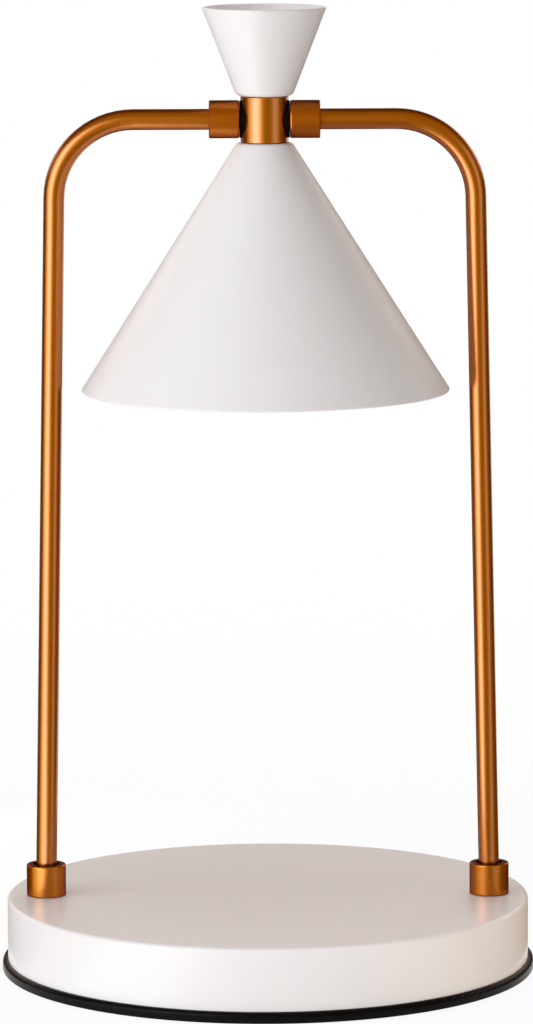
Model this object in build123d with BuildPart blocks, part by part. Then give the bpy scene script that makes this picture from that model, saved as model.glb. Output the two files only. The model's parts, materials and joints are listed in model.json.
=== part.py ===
from build123d import *
import os
from math import radians, sqrt, tan

os.makedirs("parts", exist_ok=True)

# Candle warmer: a round weighted base, a thin arch of two bent tubes and, in the
# middle of the arch, a small barrel that carries a conical shade below and a
# funnel above. The barrel tilts about the arch's level axis. A lamp with two
# mushroom pins hangs in the shade and locks into its holder with a short twist.
# Millimetres. Origin: centre of the base's underside. +X right, -Y front, +Z up.

# Fits
press_gap = 0.05        # radial, parts pushed or screwed into each other
running_gap = 0.05      # radial, the tilt pins in the barrel
leg_play = 0.15         # radial, upright pieces around the leaning legs
seat_gap = 0.15         # radial, loose locating edges
screw_hole_gap = 0.25   # radial, screws through plain holes
lamp_gap = 0.2          # between the lamp and its holder

# Base
shell_radius = 88.15
shell_height = 20.8
shell_wall = 1.2
shell_edge_round = 1.3
plate_overhang = 1.85   # the plate's rim stands out beyond the shell
plate_thickness = 3.7
plate_top_round = 1.4
plate_bottom_round = 0.5
plate_lip_height = 3.0
plate_lip_thickness = 1.6
mat_margin = 12.0       # the mat's edge to the plate's rim
mat_thickness = 2.0
mat_recess_depth = 1.7
weight_margin = 3.95    # the weight's edge to the shell's inside
weight_thickness = 6.0
weight_chamfer = 0.8

# Base screws, from below through pillars of the plate into the weight
base_screw_count = 4
base_screw_circle = 52.0
base_screw_angle = 45.0  # of the first screw, from +X
base_screw_radius = 2.0
base_screw_bite = 5.0
base_screw_head_radius = 3.9
base_screw_head_height = 2.4
pillar_wall = 2.05

# Cord inlet in the back of the base
inlet_height = 9.6      # above the bottom plate
inlet_hole_radius = 5.0
grommet_bore_radius = 3.2
grommet_flange_width = 1.25
grommet_flange = 1.2

# Terminal block on the bottom plate
terminal_length = 18.0
terminal_width = 14.0
terminal_height = 9.6
terminal_x = 43.0
terminal_pole_spacing = 7.0
terminal_tunnel_radius = 1.6
terminal_tunnel_depth = 12.0
terminal_screw_radius = 1.5
terminal_screw_pitch = 5.0
terminal_screw_sink = 1.0
cradle_height = 1.4
cradle_wall = 1.2

# Arch
tube_radius = 3.5
tube_wall = 0.8
bend_radius = 26.5
arch_height = 262.9     # level axis of the arch above the base's top
leg_inset = 13.0        # leg axis to the shell's outside, at the base's top
leg_lean = 1.15         # degrees, the legs lean in towards the top
leg_hole_gap = 0.45
thread_tail = 0.8       # tube below its lock nut

# Leg fastening
collar_wall = 3.15
collar_height = 10.8
collar_top_round = 0.6
collar_foot_round = 0.5
collar_recess_width = 1.0
collar_recess_depth = 2.2
nut_wall = 2.0          # of all the nuts, at their flats
post_washer_margin = 1.65
post_washer_thickness = 0.8
post_nut_height = 3.6

# Tilt hub
barrel_radius = 8.0
barrel_height = 15.6
barrel_chamfer = 0.35
barrel_roof = 4.0       # solid metal above the barrel's cavity
sleeve_wall = 2.85
sleeve_length = 10.1
sleeve_inner_round = 0.6
sleeve_outer_chamfer = 0.3
socket_depth = 6.0
pad_skin = 0.4          # the pad where it is thinnest
pad_band = 2.0          # the pad's width before and behind its pin
pad_crescent = 3.2      # above and below it, where the pad bridges the barrel's side
pad_face_gap = 0.05     # between the pad and the sleeve that it rubs on
pin_radius = 3.0
pin_recess = 0.45       # the pin's inner end to the barrel's cavity
grub_radius = 1.5
grub_from_end = 2.8     # grub screw to the sleeve's outer end
grub_key_flats = 1.5

# Shade and funnel
shade_rim_radius = 61.85
shade_shoulder = 1.2    # the shade's top beyond the barrel
shade_height = 83.0
shade_wall = 1.0
shade_shoulder_round = 1.6
shade_lip_round = 0.35
funnel_rim_radius = 20.8
funnel_shoulder = 1.4   # the funnel's foot beyond the barrel
funnel_height = 29.5
funnel_wall = 1.2
funnel_foot_round = 2.4
funnel_lip_round = 0.4
funnel_screw_radius = 2.5
funnel_screw_head_width = 1.9
funnel_screw_head_height = 2.8
funnel_screw_head_round = 1.4
funnel_screw_tip_gap = 0.4
funnel_washer_margin = 1.1
funnel_washer_thickness = 0.8
hex_key_flats = 3.0
hex_key_depth = 1.6

# Hollow threaded nipple that hangs the shade and the lamp holder
nipple_radius = 4.0
nipple_wall = 1.2
nipple_pin_gap = 0.6    # the nipple's upper end to the tilt pins
nipple_tail = 0.5
shade_washer_margin = 0.45
shade_washer_thickness = 0.8
shade_nut_height = 3.0
bracket_nut_height = 2.4

# Strap bracket of the lamp holder
strap_width = 10.0
strap_thickness = 0.8
strap_side_gap = 0.35   # beside the nut under the strap
strap_drop = 7.0
holder_screw_radius = 1.25
holder_screw_bite = 13.0
holder_screw_head_width = 1.05
holder_screw_head_height = 1.7
holder_screw_side_gap = 0.2

# Lamp holder, two halves of ceramic, and the twist lock
holder_side_wall = 2.15
holder_cover_height = 9.0
holder_body_height = 9.0
holder_edge_chamfer = 1.0
holder_face_thickness = 2.6
lamp_pin_circle = 5.0
lamp_shank_radius = 1.6
lamp_head_radius = 2.45
lamp_head_height = 2.8
lamp_head_lift = 0.8    # free height between a locked head and its ledge
lamp_twist = 35.0       # degrees from locked to free
keyway_gap = 0.3
contact_thickness = 0.5
contact_width = 3.6
contact_length = 5.6
contact_gap = 0.3       # between a lamp pin's head and its contact
contact_split = 0.6     # half the gap between the two contacts
contact_back_gap = 0.45

# Lamp
lamp_base_radius = 12.0
lamp_base_height = 12.0
lamp_base_chamfer = 1.5
lamp_socket_depth = 7.0
reflector_radius = 25.0
reflector_neck_step = 1.0
reflector_height = 34.0
reflector_wall = 1.2
reflector_bow = 3.5     # how far the bowl's side bulges from a straight line
reflector_band = 2.6    # straight band at the reflector's rim
lens_thickness = 1.6
lens_inset = 0.5
capsule_radius = 4.8
capsule_wall = 0.8
capsule_length = 26.0
capsule_nose_flat = 0.25 # radius left flat at the capsule's tip
filament_post_radius = 0.35
filament_coil_radius = 0.9
filament_half_length = 2.4
filament_drop = 19.0

# Leads inside the object
lead_radius = 1.25
lead_room = 0.5         # radial, the lead in the hollow tilt pins
lead_run_height = 2.9   # lead's axis above the bottom plate
lead_foot_bend = 5.0
lead_hub_bend = 4.0
lead_seat_depth = 2.0
lead_join_gap = 0.05

# Levels from the ground up
plate_bottom = mat_thickness - mat_recess_depth
plate_top = plate_bottom + plate_thickness
recess_roof = plate_bottom + mat_recess_depth
base_top = plate_top + shell_height
weight_top = base_top - shell_wall
weight_bottom = weight_top - weight_thickness
post_nut_top = weight_bottom - post_washer_thickness
post_nut_bottom = post_nut_top - post_nut_height
tube_foot = post_nut_bottom - thread_tail
axis_z = base_top + arch_height
barrel_bottom = axis_z - barrel_height / 2
barrel_top = axis_z + barrel_height / 2
shade_rim_z = barrel_bottom - shade_height
shade_roof = barrel_bottom - shade_wall
shade_nut_top = shade_roof - shade_washer_thickness
strap_top = shade_nut_top - shade_nut_height
bracket_nut_top = strap_top - strap_thickness
nipple_top = axis_z - pin_radius - nipple_pin_gap
nipple_foot = bracket_nut_top - bracket_nut_height - nipple_tail
holder_top = strap_top - strap_drop
holder_split = holder_top - holder_cover_height
holder_face = holder_split - holder_body_height
lamp_top = holder_face - lamp_gap
lamp_shank_top = holder_face + holder_face_thickness + lamp_head_lift
lamp_base_bottom = lamp_top - lamp_base_height
lamp_face = lamp_base_bottom - reflector_height
funnel_floor = barrel_top + funnel_wall
inlet_z = plate_top + inlet_height
lead_run_z = plate_top + lead_run_height

# Radii and widths that follow
shell_inner_radius = shell_radius - shell_wall
plate_radius = shell_radius + plate_overhang
mat_radius = plate_radius - mat_margin
weight_radius = shell_inner_radius - weight_margin
leg_spread = shell_radius - leg_inset
pillar_radius = base_screw_head_radius + screw_hole_gap + pillar_wall
grommet_flange_radius = inlet_hole_radius + grommet_flange_width
collar_radius = tube_radius + collar_wall
collar_recess_radius = tube_radius + collar_recess_width
post_nut_flats = 2 * (tube_radius + nut_wall)
post_washer_radius = post_nut_flats / sqrt(3) + post_washer_margin
sleeve_radius = tube_radius + sleeve_wall
pad_half_width = pin_radius + pad_band
pad_half_height = pin_radius + pad_crescent
pin_bore_radius = lead_radius + lead_room
cavity_radius = nipple_radius + press_gap
nipple_bore_radius = nipple_radius - nipple_wall
nipple_nut_flats = 2 * (nipple_radius + nut_wall)
nipple_nut_corner = nipple_nut_flats / sqrt(3)
shade_washer_radius = nipple_nut_corner + shade_washer_margin
shade_shoulder_radius = barrel_radius + shade_shoulder
funnel_foot_radius = barrel_radius + funnel_shoulder
funnel_screw_head_radius = funnel_screw_radius + funnel_screw_head_width
funnel_washer_radius = funnel_screw_head_radius + funnel_washer_margin
strap_half_length = nipple_nut_corner + strap_side_gap + strap_thickness
holder_screw_head_radius = holder_screw_radius + holder_screw_head_width
holder_screw_x = strap_half_length + holder_screw_side_gap + holder_screw_head_radius
foot_half_length = holder_screw_x + holder_screw_head_radius
holder_radius = holder_screw_x + holder_screw_radius + holder_side_wall
contact_x = lamp_pin_circle + lamp_head_radius + contact_gap
holder_cavity_radius = contact_x + contact_thickness + contact_back_gap
reflector_neck_radius = lamp_base_radius - reflector_neck_step
terminal_face_x = terminal_x + terminal_length / 2

# Distances along the arch's level axis
pad_face = barrel_radius + pad_skin
sleeve_face = pad_face + pad_face_gap
socket_floor = sleeve_face + sleeve_length - socket_depth
pin_inner_end = cavity_radius + pin_recess
grub_x = sleeve_face + sleeve_length - grub_from_end
arch_lead_end = lead_hub_bend + 2 * lead_join_gap
head_lead_start = arch_lead_end - lead_join_gap


def leg_x(z):
    """Distance of a leg's axis from the centre at height z."""
    return leg_spread - (z - base_top) * tan(radians(leg_lean))


def upward(z):
    """Level plane at height z."""
    return Plane.XY.offset(z)


def sideways(sign, x):
    """Plane across the tilt axis, at distance x, facing away from the centre."""
    return Plane(origin=(sign * x, 0, axis_z), x_dir=(0, 1, 0), z_dir=(sign, 0, 0))


# Base

with BuildPart() as rubber_mat:
    with BuildSketch(upward(0)):
        Circle(mat_radius)
    extrude(amount=mat_thickness)
    chamfer(rubber_mat.edges().sort_by(Axis.Z)[0], plate_bottom / 2)
rubber_mat.part.label = "rubber_mat"
export_step(rubber_mat.part, "parts/rubber_mat.step")

with BuildPart() as bottom_plate:
    with BuildSketch(upward(plate_bottom)):
        Circle(plate_radius)
    extrude(amount=plate_thickness)
    fillet(bottom_plate.edges().sort_by(Axis.Z)[-1], plate_top_round)
    fillet(bottom_plate.edges().sort_by(Axis.Z)[0], plate_bottom_round)
    # lip that centres the shell
    with BuildSketch(upward(plate_top)):
        Circle(shell_inner_radius - seat_gap)
        Circle(shell_inner_radius - seat_gap - plate_lip_thickness, mode=Mode.SUBTRACT)
    extrude(amount=plate_lip_height)
    # pillars up to the weight
    with BuildSketch(upward(plate_top)):
        with PolarLocations(base_screw_circle, base_screw_count, start_angle=base_screw_angle):
            Circle(pillar_radius)
    extrude(amount=weight_bottom - plate_top)
    # low rim around the terminal block
    with BuildSketch(upward(plate_top)):
        with Locations((terminal_x, 0)):
            Rectangle(
                terminal_length + 2 * (seat_gap + cradle_wall),
                terminal_width + 2 * (seat_gap + cradle_wall),
            )
            Rectangle(
                terminal_length + 2 * seat_gap,
                terminal_width + 2 * seat_gap,
                mode=Mode.SUBTRACT,
            )
    extrude(amount=cradle_height)
    # recess for the mat, and screw holes with room for the heads
    with BuildSketch(upward(plate_bottom)):
        Circle(mat_radius + seat_gap)
    extrude(amount=mat_recess_depth, mode=Mode.SUBTRACT)
    with BuildSketch(upward(recess_roof)):
        with PolarLocations(base_screw_circle, base_screw_count, start_angle=base_screw_angle):
            Circle(base_screw_head_radius + screw_hole_gap)
    extrude(amount=base_screw_head_height, mode=Mode.SUBTRACT)
    with BuildSketch(upward(recess_roof)):
        with PolarLocations(base_screw_circle, base_screw_count, start_angle=base_screw_angle):
            Circle(base_screw_radius + screw_hole_gap)
    extrude(amount=weight_bottom - recess_roof, mode=Mode.SUBTRACT)
bottom_plate.part.label = "bottom_plate"
export_step(bottom_plate.part, "parts/bottom_plate.step")

with BuildPart() as base_shell:
    with BuildSketch(upward(plate_top)):
        Circle(shell_radius)
    extrude(amount=shell_height)
    fillet(base_shell.edges().sort_by(Axis.Z)[-1], shell_edge_round)
    offset(amount=-shell_wall, openings=base_shell.faces().sort_by(Axis.Z)[0])
    with BuildSketch(upward(base_top)):
        with Locations((-leg_x(base_top), 0), (leg_x(base_top), 0)):
            Circle(tube_radius + leg_hole_gap)
    extrude(amount=-shell_wall, mode=Mode.SUBTRACT)
    with BuildSketch(Plane(origin=(0, shell_inner_radius / 2, inlet_z), z_dir=(0, 1, 0))):
        Circle(inlet_hole_radius)
    extrude(amount=shell_radius, mode=Mode.SUBTRACT)
base_shell.part.label = "base_shell"
export_step(base_shell.part, "parts/base_shell.step")

with BuildPart() as base_weight:
    with BuildSketch(upward(weight_bottom)):
        Circle(weight_radius)
    extrude(amount=weight_thickness)
    chamfer(base_weight.edges().filter_by(GeomType.CIRCLE), weight_chamfer)
    with BuildSketch(upward(weight_bottom)):
        with Locations((-leg_x(weight_bottom), 0), (leg_x(weight_bottom), 0)):
            Circle(tube_radius + leg_hole_gap)
        with PolarLocations(base_screw_circle, base_screw_count, start_angle=base_screw_angle):
            Circle(base_screw_radius + press_gap)
    extrude(amount=weight_thickness, mode=Mode.SUBTRACT)
base_weight.part.label = "base_weight"
export_step(base_weight.part, "parts/base_weight.step")

with BuildPart() as base_screws:
    with BuildSketch(upward(recess_roof)):
        with PolarLocations(base_screw_circle, base_screw_count, start_angle=base_screw_angle):
            Circle(base_screw_head_radius)
    extrude(amount=base_screw_head_height)
    with BuildSketch(upward(recess_roof + base_screw_head_height)):
        with PolarLocations(base_screw_circle, base_screw_count, start_angle=base_screw_angle):
            Circle(base_screw_radius)
    extrude(amount=weight_bottom + base_screw_bite - recess_roof - base_screw_head_height)
base_screws.part.label = "base_screws"
export_step(base_screws.part, "parts/base_screws.step")

with BuildPart() as cord_grommet:
    outer_flange_y = shell_radius + press_gap
    shell_back_y = sqrt(shell_inner_radius**2 - grommet_flange_radius**2)
    inner_flange_y = shell_back_y - press_gap - grommet_flange
    with BuildSketch(Plane(origin=(0, inner_flange_y, inlet_z), z_dir=(0, 1, 0))):
        Circle(grommet_flange_radius)
    extrude(amount=grommet_flange)
    with BuildSketch(Plane(origin=(0, outer_flange_y, inlet_z), z_dir=(0, 1, 0))):
        Circle(grommet_flange_radius)
    extrude(amount=grommet_flange)
    with BuildSketch(Plane(origin=(0, inner_flange_y, inlet_z), z_dir=(0, 1, 0))):
        Circle(inlet_hole_radius - press_gap)
    extrude(amount=outer_flange_y - inner_flange_y)
    chamfer(cord_grommet.edges().sort_by(Axis.Y)[-1], grommet_flange / 2)
    with BuildSketch(Plane(origin=(0, inner_flange_y, inlet_z), z_dir=(0, 1, 0))):
        Circle(grommet_bore_radius)
    extrude(amount=outer_flange_y - inner_flange_y + grommet_flange, mode=Mode.SUBTRACT)
cord_grommet.part.label = "cord_grommet"
export_step(cord_grommet.part, "parts/cord_grommet.step")

# Terminal block: tunnels for the supply's two cores on its left, a seat for the
# lamp's lead on its right, and clamping screws from above

pole_ys = (-terminal_pole_spacing / 2, terminal_pole_spacing / 2)
clamp_points = [
    (terminal_x - terminal_length / 2 + row * terminal_screw_pitch, y) for row in (1, 2) for y in pole_ys
]

with BuildPart() as terminal_block:
    with BuildSketch(upward(plate_top)):
        with Locations((terminal_x, 0)):
            RectangleRounded(terminal_length, terminal_width, cradle_wall)
    extrude(amount=terminal_height)
    with BuildSketch(Plane.YZ.offset(terminal_x - terminal_length / 2)):
        with Locations(*[(y, lead_run_z) for y in pole_ys]):
            Circle(terminal_tunnel_radius)
    extrude(amount=terminal_tunnel_depth, mode=Mode.SUBTRACT)
    with BuildSketch(Plane.YZ.offset(terminal_face_x)):
        with Locations((0, lead_run_z)):
            Circle(lead_radius + seat_gap)
    extrude(amount=-lead_seat_depth, mode=Mode.SUBTRACT)
    with BuildSketch(upward(plate_top + terminal_height)):
        with Locations(*clamp_points):
            Circle(terminal_screw_radius + press_gap)
    extrude(amount=lead_run_z - plate_top - terminal_height, mode=Mode.SUBTRACT)
terminal_block.part.label = "terminal_block"
export_step(terminal_block.part, "parts/terminal_block.step")

with BuildPart() as terminal_screws:
    with BuildSketch(upward(plate_top + terminal_height - terminal_screw_sink)):
        with Locations(*clamp_points):
            Circle(terminal_screw_radius)
    extrude(amount=lead_run_z + terminal_screw_sink / 2 - plate_top - terminal_height)
terminal_screws.part.label = "terminal_screws"
export_step(terminal_screws.part, "parts/terminal_screws.step")

# Leg fastening: collars above the base, washers and nuts below the weight

for side, sign in (("left", -1), ("right", 1)):
    with BuildPart() as base_collar:
        with BuildSketch(upward(base_top)):
            with Locations((sign * leg_x(base_top + collar_height / 2), 0)):
                Circle(collar_radius)
        extrude(amount=collar_height)
        fillet(base_collar.edges().sort_by(Axis.Z)[-1], collar_top_round)
        fillet(base_collar.edges().sort_by(Axis.Z)[0], collar_foot_round)
        with BuildSketch(upward(base_top)):
            with Locations((sign * leg_x(base_top + collar_height / 2), 0)):
                Circle(tube_radius + leg_play)
        extrude(amount=collar_height, mode=Mode.SUBTRACT)
        with BuildSketch(upward(base_top + collar_height)):
            with Locations((sign * leg_x(base_top + collar_height / 2), 0)):
                Circle(collar_recess_radius)
        extrude(amount=-collar_recess_depth, mode=Mode.SUBTRACT)
    base_collar.part.label = f"base_collar_{side}"
    export_step(base_collar.part, f"parts/base_collar_{side}.step")

with BuildPart() as post_washers:
    with BuildSketch(upward(post_nut_top)):
        with Locations((-leg_x(post_nut_top), 0), (leg_x(post_nut_top), 0)):
            Circle(post_washer_radius)
            Circle(tube_radius + leg_play, mode=Mode.SUBTRACT)
    extrude(amount=post_washer_thickness)
post_washers.part.label = "post_washers"
export_step(post_washers.part, "parts/post_washers.step")

with BuildPart() as post_nuts:
    with BuildSketch(upward(post_nut_bottom)):
        with Locations((-leg_x(post_nut_bottom), 0), (leg_x(post_nut_bottom), 0)):
            RegularPolygon(post_nut_flats / 2, 6, major_radius=False)
            Circle(tube_radius + leg_play, mode=Mode.SUBTRACT)
    extrude(amount=post_nut_height)
post_nuts.part.label = "post_nuts"
export_step(post_nuts.part, "parts/post_nuts.step")

# Arch: each tube runs up its leg, round the bend and level into its sleeve

for side, sign in (("left", -1), ("right", 1)):
    with BuildPart() as arch_tube:
        with BuildLine() as arch_path:
            FilletPolyline(
                (sign * leg_x(tube_foot), 0, tube_foot),
                (sign * leg_x(axis_z), 0, axis_z),
                (sign * socket_floor, 0, axis_z),
                radius=bend_radius,
            )
        with BuildSketch(Plane(origin=arch_path.line @ 0, z_dir=arch_path.line % 0)):
            Circle(tube_radius)
            Circle(tube_radius - tube_wall, mode=Mode.SUBTRACT)
        sweep()
    arch_tube.part.label = f"arch_tube_{side}"
    export_step(arch_tube.part, f"parts/arch_tube_{side}.step")

with BuildPart() as arch_lead:
    with BuildLine() as lead_path:
        FilletPolyline(
            (terminal_face_x - lead_seat_depth, 0, lead_run_z),
            (leg_x(lead_run_z), 0, lead_run_z),
            (leg_x(axis_z), 0, axis_z),
            (arch_lead_end, 0, axis_z),
            radius=[lead_foot_bend, bend_radius],
        )
    with BuildSketch(Plane(origin=lead_path.line @ 0, z_dir=lead_path.line % 0)):
        Circle(lead_radius)
    sweep()
arch_lead.part.label = "arch_lead"
export_step(arch_lead.part, "parts/arch_lead.step")

# Tilt hub: hollow pins fixed in the sleeves turn in the barrel's side bores, and
# saddle pads on the barrel rub on the sleeves' faces

for side, sign in (("left", -1), ("right", 1)):
    with BuildPart() as hub_sleeve:
        with BuildSketch(sideways(sign, sleeve_face)):
            Circle(sleeve_radius)
        extrude(amount=sleeve_length)
        sleeve_ends = hub_sleeve.edges().filter_by(GeomType.CIRCLE).sort_by_distance((0, 0, axis_z))
        fillet(sleeve_ends[0], sleeve_inner_round)
        chamfer(sleeve_ends[-1], sleeve_outer_chamfer)
        with BuildSketch(sideways(sign, sleeve_face)):
            Circle(pin_radius + press_gap)
        extrude(amount=sleeve_length, mode=Mode.SUBTRACT)
        with BuildSketch(sideways(sign, socket_floor)):
            Circle(tube_radius + press_gap)
        extrude(amount=socket_depth, mode=Mode.SUBTRACT)
        with BuildSketch(Plane(origin=(sign * grub_x, 0, axis_z), z_dir=(0, 1, 0))):
            Circle(grub_radius + press_gap)
        extrude(amount=sleeve_radius, mode=Mode.SUBTRACT)
    hub_sleeve.part.label = f"hub_sleeve_{side}"
    export_step(hub_sleeve.part, f"parts/hub_sleeve_{side}.step")

    with BuildPart() as pivot_pin:
        with BuildSketch(sideways(sign, pin_inner_end)):
            Circle(pin_radius)
            Circle(pin_bore_radius, mode=Mode.SUBTRACT)
        extrude(amount=socket_floor - pin_inner_end)
    pivot_pin.part.label = f"pivot_pin_{side}"
    export_step(pivot_pin.part, f"parts/pivot_pin_{side}.step")

    with BuildPart() as pivot_pad:
        with BuildSketch(sideways(sign, pin_inner_end)):
            Ellipse(pad_half_width, pad_half_height)
            Circle(pin_radius + seat_gap, mode=Mode.SUBTRACT)
        extrude(amount=pad_face - pin_inner_end)
        with BuildSketch(upward(barrel_bottom)):
            Circle(barrel_radius + press_gap)
        extrude(amount=barrel_height, mode=Mode.SUBTRACT)
    pivot_pad.part.label = f"pivot_pad_{side}"
    export_step(pivot_pad.part, f"parts/pivot_pad_{side}.step")

with BuildPart() as sleeve_grub_screws:
    with BuildSketch(Plane(origin=(0, tube_radius + press_gap, axis_z), x_dir=(1, 0, 0), z_dir=(0, 1, 0))):
        with GridLocations(2 * grub_x, 0, 2, 1):
            Circle(grub_radius)
            RegularPolygon(grub_key_flats / 2, 6, major_radius=False, mode=Mode.SUBTRACT)
    extrude(amount=sleeve_radius - tube_radius - 2 * press_gap)
sleeve_grub_screws.part.label = "sleeve_grub_screws"
export_step(sleeve_grub_screws.part, "parts/sleeve_grub_screws.step")

with BuildPart() as hub_barrel:
    with BuildSketch(upward(barrel_bottom)):
        Circle(barrel_radius)
    extrude(amount=barrel_height)
    chamfer(hub_barrel.edges().filter_by(GeomType.CIRCLE), barrel_chamfer)
    with BuildSketch(upward(barrel_bottom)):
        Circle(cavity_radius)
    extrude(amount=barrel_height - barrel_roof, mode=Mode.SUBTRACT)
    with BuildSketch(upward(barrel_top)):
        Circle(funnel_screw_radius + press_gap)
    extrude(amount=-barrel_roof, mode=Mode.SUBTRACT)
    with BuildSketch(Plane(origin=(0, 0, axis_z), z_dir=(1, 0, 0))):
        Circle(pin_radius + running_gap)
    extrude(amount=barrel_radius, both=True, mode=Mode.SUBTRACT)
hub_barrel.part.label = "hub_barrel"
export_step(hub_barrel.part, "parts/hub_barrel.step")

# Funnel on top, held by a screw through its floor

with BuildPart() as funnel:
    with BuildSketch(Plane.XZ):
        with BuildLine():
            Polyline(
                (0, barrel_top),
                (funnel_foot_radius, barrel_top),
                (funnel_rim_radius, barrel_top + funnel_height),
                (0, barrel_top + funnel_height),
                close=True,
            )
        make_face()
    revolve(axis=Axis.Z)
    fillet(funnel.edges().sort_by(Axis.Z)[0], funnel_foot_round)
    offset(amount=-funnel_wall, openings=funnel.faces().sort_by(Axis.Z)[-1])
    funnel_rim = funnel.edges().filter_by(GeomType.CIRCLE).group_by(Axis.Z)[-1]
    fillet(funnel_rim, funnel_lip_round)
    with BuildSketch(upward(barrel_top)):
        Circle(funnel_screw_radius + screw_hole_gap)
    extrude(amount=funnel_wall, mode=Mode.SUBTRACT)
funnel.part.label = "funnel"
export_step(funnel.part, "parts/funnel.step")

with BuildPart() as funnel_washer:
    with BuildSketch(upward(funnel_floor)):
        Circle(funnel_washer_radius)
        Circle(funnel_screw_radius + seat_gap, mode=Mode.SUBTRACT)
    extrude(amount=funnel_washer_thickness)
funnel_washer.part.label = "funnel_washer"
export_step(funnel_washer.part, "parts/funnel_washer.step")

with BuildPart() as funnel_screw:
    head_seat = funnel_floor + funnel_washer_thickness
    with BuildSketch(upward(head_seat)):
        Circle(funnel_screw_head_radius)
    extrude(amount=funnel_screw_head_height)
    fillet(funnel_screw.edges().sort_by(Axis.Z)[-1], funnel_screw_head_round)
    with BuildSketch(upward(head_seat + funnel_screw_head_height)):
        RegularPolygon(hex_key_flats / 2, 6, major_radius=False)
    extrude(amount=-hex_key_depth, mode=Mode.SUBTRACT)
    with BuildSketch(upward(head_seat)):
        Circle(funnel_screw_radius)
    extrude(amount=barrel_top - barrel_roof + funnel_screw_tip_gap - head_seat)
funnel_screw.part.label = "funnel_screw"
export_step(funnel_screw.part, "parts/funnel_screw.step")

# Shade, hung from the barrel by the hollow nipple

with BuildPart() as shade:
    with BuildSketch(Plane.XZ):
        with BuildLine():
            Polyline(
                (0, shade_rim_z),
                (shade_rim_radius, shade_rim_z),
                (shade_shoulder_radius, barrel_bottom),
                (0, barrel_bottom),
                close=True,
            )
        make_face()
    revolve(axis=Axis.Z)
    fillet(shade.edges().sort_by(Axis.Z)[-1], shade_shoulder_round)
    offset(amount=-shade_wall, openings=shade.faces().sort_by(Axis.Z)[0])
    shade_rim = shade.edges().filter_by(GeomType.CIRCLE).group_by(Axis.Z)[0]
    fillet(shade_rim, shade_lip_round)
    with BuildSketch(upward(barrel_bottom)):
        Circle(nipple_radius + seat_gap)
    extrude(amount=-shade_wall, mode=Mode.SUBTRACT)
shade.part.label = "shade"
export_step(shade.part, "parts/shade.step")

with BuildPart() as shade_nipple:
    with BuildSketch(upward(nipple_foot)):
        Circle(nipple_radius)
        Circle(nipple_bore_radius, mode=Mode.SUBTRACT)
    extrude(amount=nipple_top - nipple_foot)
shade_nipple.part.label = "shade_nipple"
export_step(shade_nipple.part, "parts/shade_nipple.step")

with BuildPart() as shade_washer:
    with BuildSketch(upward(shade_nut_top)):
        Circle(shade_washer_radius)
        Circle(nipple_radius + seat_gap, mode=Mode.SUBTRACT)
    extrude(amount=shade_washer_thickness)
shade_washer.part.label = "shade_washer"
export_step(shade_washer.part, "parts/shade_washer.step")

with BuildPart() as shade_nut:
    with BuildSketch(upward(strap_top)):
        RegularPolygon(nipple_nut_flats / 2, 6, major_radius=False)
        Circle(nipple_radius + press_gap, mode=Mode.SUBTRACT)
    extrude(amount=shade_nut_height)
shade_nut.part.label = "shade_nut"
export_step(shade_nut.part, "parts/shade_nut.step")

with BuildPart() as bracket_nut:
    with BuildSketch(upward(bracket_nut_top - bracket_nut_height)):
        RegularPolygon(nipple_nut_flats / 2, 6, major_radius=False)
        Circle(nipple_radius + press_gap, mode=Mode.SUBTRACT)
    extrude(amount=bracket_nut_height)
bracket_nut.part.label = "bracket_nut"
export_step(bracket_nut.part, "parts/bracket_nut.step")

# Strap bracket: one bent strip, flat on the nipple and with a foot at each end

with BuildPart() as holder_bracket:
    with BuildSketch(Plane.XZ):
        with BuildLine():
            Polyline(
                (-foot_half_length, holder_top),
                (-strap_half_length + strap_thickness, holder_top),
                (-strap_half_length + strap_thickness, strap_top - strap_thickness),
                (strap_half_length - strap_thickness, strap_top - strap_thickness),
                (strap_half_length - strap_thickness, holder_top),
                (foot_half_length, holder_top),
                (foot_half_length, holder_top + strap_thickness),
                (strap_half_length, holder_top + strap_thickness),
                (strap_half_length, strap_top),
                (-strap_half_length, strap_top),
                (-strap_half_length, holder_top + strap_thickness),
                (-foot_half_length, holder_top + strap_thickness),
                close=True,
            )
        make_face()
    extrude(amount=strap_width / 2, both=True)
    with BuildSketch(upward(strap_top)):
        Circle(nipple_radius + seat_gap)
    extrude(amount=-strap_thickness, mode=Mode.SUBTRACT)
    with BuildSketch(upward(holder_top)):
        with GridLocations(2 * holder_screw_x, 0, 2, 1):
            Circle(holder_screw_radius + seat_gap)
    extrude(amount=strap_thickness, mode=Mode.SUBTRACT)
holder_bracket.part.label = "holder_bracket"
export_step(holder_bracket.part, "parts/holder_bracket.step")

with BuildPart() as holder_screws:
    with BuildSketch(upward(holder_top + strap_thickness)):
        with GridLocations(2 * holder_screw_x, 0, 2, 1):
            Circle(holder_screw_head_radius)
    extrude(amount=holder_screw_head_height)
    with BuildSketch(upward(holder_top + strap_thickness)):
        with GridLocations(2 * holder_screw_x, 0, 2, 1):
            Circle(holder_screw_radius)
    extrude(amount=-strap_thickness - holder_screw_bite)
holder_screws.part.label = "holder_screws"
export_step(holder_screws.part, "parts/holder_screws.step")

# Lamp holder. Each lamp pin's head passes up through the keyway's round end and
# is held above its narrow end after the twist.

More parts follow.
